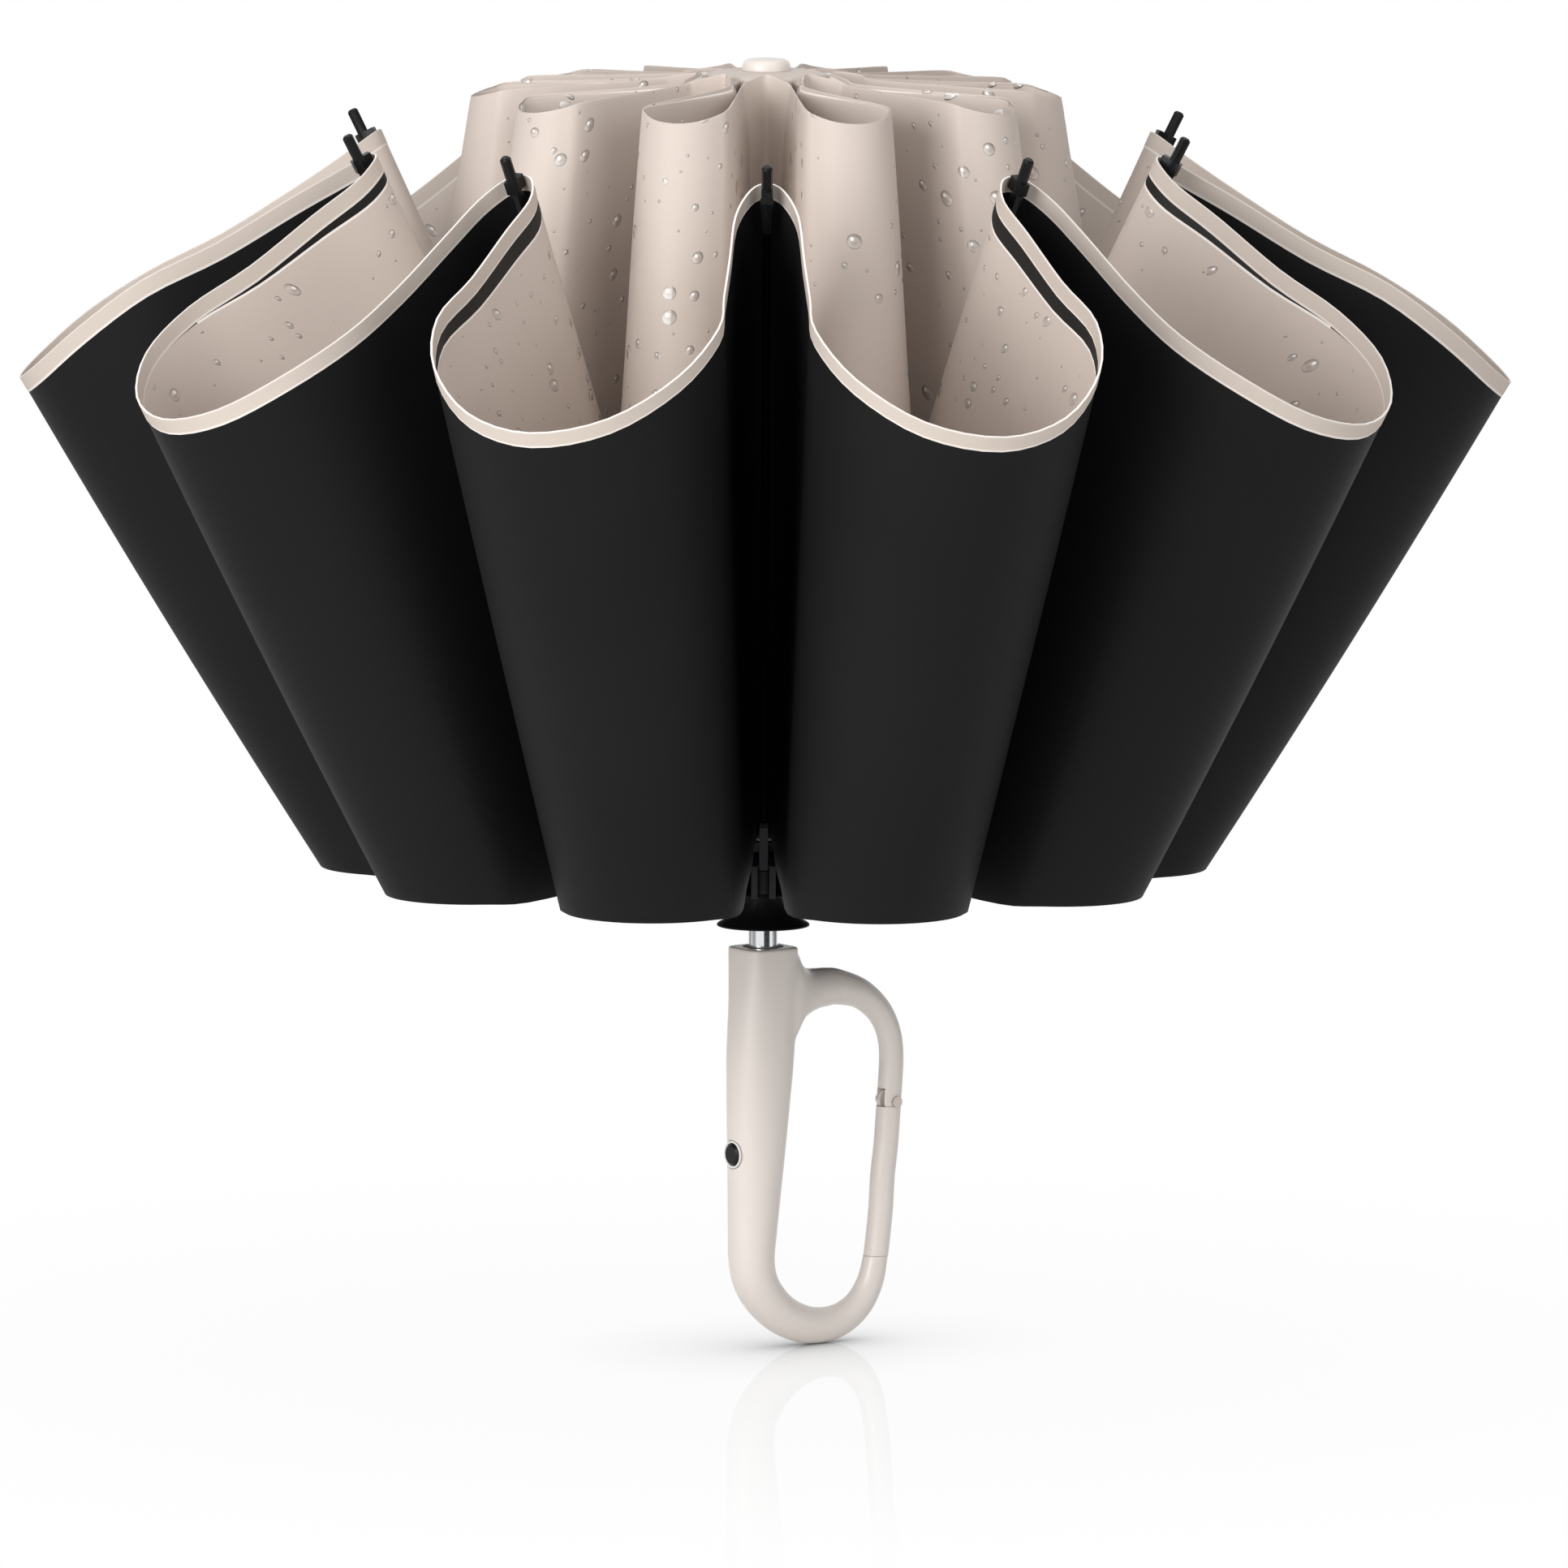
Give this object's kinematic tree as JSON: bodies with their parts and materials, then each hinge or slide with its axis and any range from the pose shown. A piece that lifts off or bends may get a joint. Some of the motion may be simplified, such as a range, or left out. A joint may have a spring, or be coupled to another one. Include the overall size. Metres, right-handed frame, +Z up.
{
  "type": "inverted umbrella",
  "caption": "Reverse-folding umbrella folded shut, with sprung ring handle, sliding runner, hinged ribs and stretchers, moulded tips and a two-tier cloth canopy.",
  "frame": {"origin": "on the shaft's axis, level with the lowest point of the handle", "axes": "+Z up the shaft from the handle to the crown cap, +X from the shaft towards the ring of the handle"},
  "size_m": [0.5946, 0.5654, 0.5194],
  "materials": {
    "beige_plastic": "satin moulded",
    "dark_plastic": "satin moulded",
    "black_cloth": "tight woven pongee",
    "bright_steel": "plated",
    "dark_steel": "black coated",
    "pale_trim": "gloss"
  },
  "bodies": {
    "shaft": {"handle_body": "beige_plastic", "shaft_bush": "dark_plastic", "button_ring": "pale_trim", "button_spring": "bright_steel", "gate_pin": "bright_steel", "gate_spring": "bright_steel", "lower_tube": "bright_steel", "middle_tube": "bright_steel", "upper_tube": "bright_steel", "drive_spring": "dark_steel", "top_notch": "dark_plastic", "notch_wire": "bright_steel", "crown_cap": "beige_plastic", "runner_stop": "bright_steel", "canopy": "black_cloth"},
    "button": {"release_button": "dark_plastic"},
    "gate": {"gate": "beige_plastic"},
    "runner": {"runner": "dark_plastic", "runner_cup": "dark_plastic", "runner_wire": "bright_steel"},
    "main_rib_01": {"main_rib_01": "dark_steel"},
    "stretcher_01": {"stretcher_01": "dark_steel"},
    "outer_rib_01": {"outer_rib_01": "dark_steel", "rib_tip_01": "dark_plastic"},
    "main_rib_02": {"main_rib_02": "dark_steel"},
    "stretcher_02": {"stretcher_02": "dark_steel"},
    "outer_rib_02": {"outer_rib_02": "dark_steel", "rib_tip_02": "dark_plastic"},
    "main_rib_03": {"main_rib_03": "dark_steel"},
    "stretcher_03": {"stretcher_03": "dark_steel"},
    "outer_rib_03": {"outer_rib_03": "dark_steel", "rib_tip_03": "dark_plastic"},
    "main_rib_04": {"main_rib_04": "dark_steel"},
    "stretcher_04": {"stretcher_04": "dark_steel"},
    "outer_rib_04": {"outer_rib_04": "dark_steel", "rib_tip_04": "dark_plastic"},
    "main_rib_05": {"main_rib_05": "dark_steel"},
    "stretcher_05": {"stretcher_05": "dark_steel"},
    "outer_rib_05": {"outer_rib_05": "dark_steel", "rib_tip_05": "dark_plastic"},
    "main_rib_06": {"main_rib_06": "dark_steel"},
    "stretcher_06": {"stretcher_06": "dark_steel"},
    "outer_rib_06": {"outer_rib_06": "dark_steel", "rib_tip_06": "dark_plastic"},
    "main_rib_07": {"main_rib_07": "dark_steel"},
    "stretcher_07": {"stretcher_07": "dark_steel"},
    "outer_rib_07": {"outer_rib_07": "dark_steel", "rib_tip_07": "dark_plastic"},
    "main_rib_08": {"main_rib_08": "dark_steel"},
    "stretcher_08": {"stretcher_08": "dark_steel"},
    "outer_rib_08": {"outer_rib_08": "dark_steel", "rib_tip_08": "dark_plastic"},
    "main_rib_09": {"main_rib_09": "dark_steel"},
    "stretcher_09": {"stretcher_09": "dark_steel"},
    "outer_rib_09": {"outer_rib_09": "dark_steel", "rib_tip_09": "dark_plastic"},
    "main_rib_10": {"main_rib_10": "dark_steel"},
    "stretcher_10": {"stretcher_10": "dark_steel"},
    "outer_rib_10": {"outer_rib_10": "dark_steel", "rib_tip_10": "dark_plastic"}
  },
  "joints": [
    {"name": "button_slide", "type": "slide", "parent": "shaft", "child": "button", "axis": [1, 0, 0], "range_m": [0, 0.0025], "stiffness_N_per_m": 300, "springref_m": -0.002, "deforming": ["button_spring"]},
    {"name": "gate_hinge", "type": "hinge", "parent": "shaft", "child": "gate", "pos_m": [0.06291, 0, 0.09552], "axis": [0, 1, 0], "range_deg": [0, 28], "stiffness_Nm_per_rad": 0.04, "springref_deg": -20.05},
    {"name": "runner_slide", "type": "slide", "parent": "shaft", "child": "runner", "axis": [0, 0, 1], "range_m": [0, 0.007], "deforming": ["canopy"]},
    {"name": "main_rib_hinge_01", "type": "hinge", "parent": "shaft", "child": "main_rib_01", "pos_m": [0.00903, 0.00294, 0.4945], "axis": [0.309, -0.9511, 0], "range_deg": [0, 6.6]},
    {"name": "stretcher_hinge_01", "type": "hinge", "parent": "runner", "child": "stretcher_01", "pos_m": [0.00999, 0.00324, 0.20725], "axis": [-0.309, 0.9511, 0], "range_deg": [0, 7.2]},
    {"name": "main_rib_hinge_02", "type": "hinge", "parent": "shaft", "child": "main_rib_02", "pos_m": [0.00558, 0.00769, 0.4945], "axis": [0.809, -0.5878, 0], "range_deg": [0, 6.6]},
    {"name": "stretcher_hinge_02", "type": "hinge", "parent": "runner", "child": "stretcher_02", "pos_m": [0.00617, 0.00849, 0.20725], "axis": [-0.809, 0.5878, 0], "range_deg": [0, 7.2]},
    {"name": "main_rib_hinge_03", "type": "hinge", "parent": "shaft", "child": "main_rib_03", "pos_m": [0, 0.0095, 0.4945], "axis": [1, 0, 0], "range_deg": [0, 6.6]},
    {"name": "stretcher_hinge_03", "type": "hinge", "parent": "runner", "child": "stretcher_03", "pos_m": [0, 0.0105, 0.20725], "axis": [-1, 0, 0], "range_deg": [0, 7.2]},
    {"name": "main_rib_hinge_04", "type": "hinge", "parent": "shaft", "child": "main_rib_04", "pos_m": [-0.00558, 0.00769, 0.4945], "axis": [0.809, 0.5878, 0], "range_deg": [0, 6.6]},
    {"name": "stretcher_hinge_04", "type": "hinge", "parent": "runner", "child": "stretcher_04", "pos_m": [-0.00617, 0.00849, 0.20725], "axis": [-0.809, -0.5878, 0], "range_deg": [0, 7.2]},
    {"name": "main_rib_hinge_05", "type": "hinge", "parent": "shaft", "child": "main_rib_05", "pos_m": [-0.00903, 0.00294, 0.4945], "axis": [0.309, 0.9511, 0], "range_deg": [0, 6.6]},
    {"name": "stretcher_hinge_05", "type": "hinge", "parent": "runner", "child": "stretcher_05", "pos_m": [-0.00999, 0.00324, 0.20725], "axis": [-0.309, -0.9511, 0], "range_deg": [0, 7.2]},
    {"name": "main_rib_hinge_06", "type": "hinge", "parent": "shaft", "child": "main_rib_06", "pos_m": [-0.00903, -0.00294, 0.4945], "axis": [-0.309, 0.9511, 0], "range_deg": [0, 6.6]},
    {"name": "stretcher_hinge_06", "type": "hinge", "parent": "runner", "child": "stretcher_06", "pos_m": [-0.00999, -0.00324, 0.20725], "axis": [0.309, -0.9511, 0], "range_deg": [0, 7.2]},
    {"name": "main_rib_hinge_07", "type": "hinge", "parent": "shaft", "child": "main_rib_07", "pos_m": [-0.00558, -0.00769, 0.4945], "axis": [-0.809, 0.5878, 0], "range_deg": [0, 6.6]},
    {"name": "stretcher_hinge_07", "type": "hinge", "parent": "runner", "child": "stretcher_07", "pos_m": [-0.00617, -0.00849, 0.20725], "axis": [0.809, -0.5878, 0], "range_deg": [0, 7.2]},
    {"name": "main_rib_hinge_08", "type": "hinge", "parent": "shaft", "child": "main_rib_08", "pos_m": [0, -0.0095, 0.4945], "axis": [-1, 0, 0], "range_deg": [0, 6.6]},
    {"name": "stretcher_hinge_08", "type": "hinge", "parent": "runner", "child": "stretcher_08", "pos_m": [0, -0.0105, 0.20725], "axis": [1, 0, 0], "range_deg": [0, 7.2]},
    {"name": "main_rib_hinge_09", "type": "hinge", "parent": "shaft", "child": "main_rib_09", "pos_m": [0.00558, -0.00769, 0.4945], "axis": [-0.809, -0.5878, 0], "range_deg": [0, 6.6]},
    {"name": "stretcher_hinge_09", "type": "hinge", "parent": "runner", "child": "stretcher_09", "pos_m": [0.00617, -0.00849, 0.20725], "axis": [0.809, 0.5878, 0], "range_deg": [0, 7.2]},
    {"name": "main_rib_hinge_10", "type": "hinge", "parent": "shaft", "child": "main_rib_10", "pos_m": [0.00903, -0.00294, 0.4945], "axis": [-0.309, -0.9511, 0], "range_deg": [0, 6.6]},
    {"name": "stretcher_hinge_10", "type": "hinge", "parent": "runner", "child": "stretcher_10", "pos_m": [0.00999, -0.00324, 0.20725], "axis": [0.309, 0.9511, 0], "range_deg": [0, 7.2]},
    {"name": "outer_rib_hinge_01", "type": "hinge", "parent": "runner", "child": "outer_rib_01", "pos_m": [0.01997, 0.00649, 0.1985], "axis": [-0.309, 0.9511, 0], "range_deg": [-14, 25]},
    {"name": "outer_rib_hinge_02", "type": "hinge", "parent": "runner", "child": "outer_rib_02", "pos_m": [0.01234, 0.01699, 0.1985], "axis": [-0.809, 0.5878, 0], "range_deg": [-14, 25]},
    {"name": "outer_rib_hinge_03", "type": "hinge", "parent": "runner", "child": "outer_rib_03", "pos_m": [0, 0.021, 0.1985], "axis": [-1, 0, 0], "range_deg": [-14, 25]},
    {"name": "outer_rib_hinge_04", "type": "hinge", "parent": "runner", "child": "outer_rib_04", "pos_m": [-0.01234, 0.01699, 0.1985], "axis": [-0.809, -0.5878, 0], "range_deg": [-14, 25]},
    {"name": "outer_rib_hinge_05", "type": "hinge", "parent": "runner", "child": "outer_rib_05", "pos_m": [-0.01997, 0.00649, 0.1985], "axis": [-0.309, -0.9511, 0], "range_deg": [-14, 25]},
    {"name": "outer_rib_hinge_06", "type": "hinge", "parent": "runner", "child": "outer_rib_06", "pos_m": [-0.01997, -0.00649, 0.1985], "axis": [0.309, -0.9511, 0], "range_deg": [-14, 25]},
    {"name": "outer_rib_hinge_07", "type": "hinge", "parent": "runner", "child": "outer_rib_07", "pos_m": [-0.01234, -0.01699, 0.1985], "axis": [0.809, -0.5878, 0], "range_deg": [-14, 25]},
    {"name": "outer_rib_hinge_08", "type": "hinge", "parent": "runner", "child": "outer_rib_08", "pos_m": [0, -0.021, 0.1985], "axis": [1, 0, 0], "range_deg": [-14, 25]},
    {"name": "outer_rib_hinge_09", "type": "hinge", "parent": "runner", "child": "outer_rib_09", "pos_m": [0.01234, -0.01699, 0.1985], "axis": [0.809, 0.5878, 0], "range_deg": [-14, 25]},
    {"name": "outer_rib_hinge_10", "type": "hinge", "parent": "runner", "child": "outer_rib_10", "pos_m": [0.01997, -0.00649, 0.1985], "axis": [0.309, 0.9511, 0], "range_deg": [-14, 25]}
  ],
  "couplings": [
    {"joint": "main_rib_hinge_01", "follows": "runner_slide", "rad_per_m": 16.04},
    {"joint": "stretcher_hinge_01", "follows": "runner_slide", "rad_per_m": 17.496},
    {"joint": "main_rib_hinge_02", "follows": "runner_slide", "rad_per_m": 16.04},
    {"joint": "stretcher_hinge_02", "follows": "runner_slide", "rad_per_m": 17.496},
    {"joint": "main_rib_hinge_03", "follows": "runner_slide", "rad_per_m": 16.04},
    {"joint": "stretcher_hinge_03", "follows": "runner_slide", "rad_per_m": 17.496},
    {"joint": "main_rib_hinge_04", "follows": "runner_slide", "rad_per_m": 16.04},
    {"joint": "stretcher_hinge_04", "follows": "runner_slide", "rad_per_m": 17.496},
    {"joint": "main_rib_hinge_05", "follows": "runner_slide", "rad_per_m": 16.04},
    {"joint": "stretcher_hinge_05", "follows": "runner_slide", "rad_per_m": 17.496},
    {"joint": "main_rib_hinge_06", "follows": "runner_slide", "rad_per_m": 16.04},
    {"joint": "stretcher_hinge_06", "follows": "runner_slide", "rad_per_m": 17.496},
    {"joint": "main_rib_hinge_07", "follows": "runner_slide", "rad_per_m": 16.04},
    {"joint": "stretcher_hinge_07", "follows": "runner_slide", "rad_per_m": 17.496},
    {"joint": "main_rib_hinge_08", "follows": "runner_slide", "rad_per_m": 16.04},
    {"joint": "stretcher_hinge_08", "follows": "runner_slide", "rad_per_m": 17.496},
    {"joint": "main_rib_hinge_09", "follows": "runner_slide", "rad_per_m": 16.04},
    {"joint": "stretcher_hinge_09", "follows": "runner_slide", "rad_per_m": 17.496},
    {"joint": "main_rib_hinge_10", "follows": "runner_slide", "rad_per_m": 16.04},
    {"joint": "stretcher_hinge_10", "follows": "runner_slide", "rad_per_m": 17.496},
    {"joint": "outer_rib_hinge_02", "follows": "outer_rib_hinge_01", "ratio": 1},
    {"joint": "outer_rib_hinge_03", "follows": "outer_rib_hinge_01", "ratio": 1},
    {"joint": "outer_rib_hinge_04", "follows": "outer_rib_hinge_01", "ratio": 1},
    {"joint": "outer_rib_hinge_05", "follows": "outer_rib_hinge_01", "ratio": 1},
    {"joint": "outer_rib_hinge_06", "follows": "outer_rib_hinge_01", "ratio": 1},
    {"joint": "outer_rib_hinge_07", "follows": "outer_rib_hinge_01", "ratio": 1},
    {"joint": "outer_rib_hinge_08", "follows": "outer_rib_hinge_01", "ratio": 1},
    {"joint": "outer_rib_hinge_09", "follows": "outer_rib_hinge_01", "ratio": 1},
    {"joint": "outer_rib_hinge_10", "follows": "outer_rib_hinge_01", "ratio": 1}
  ]
}
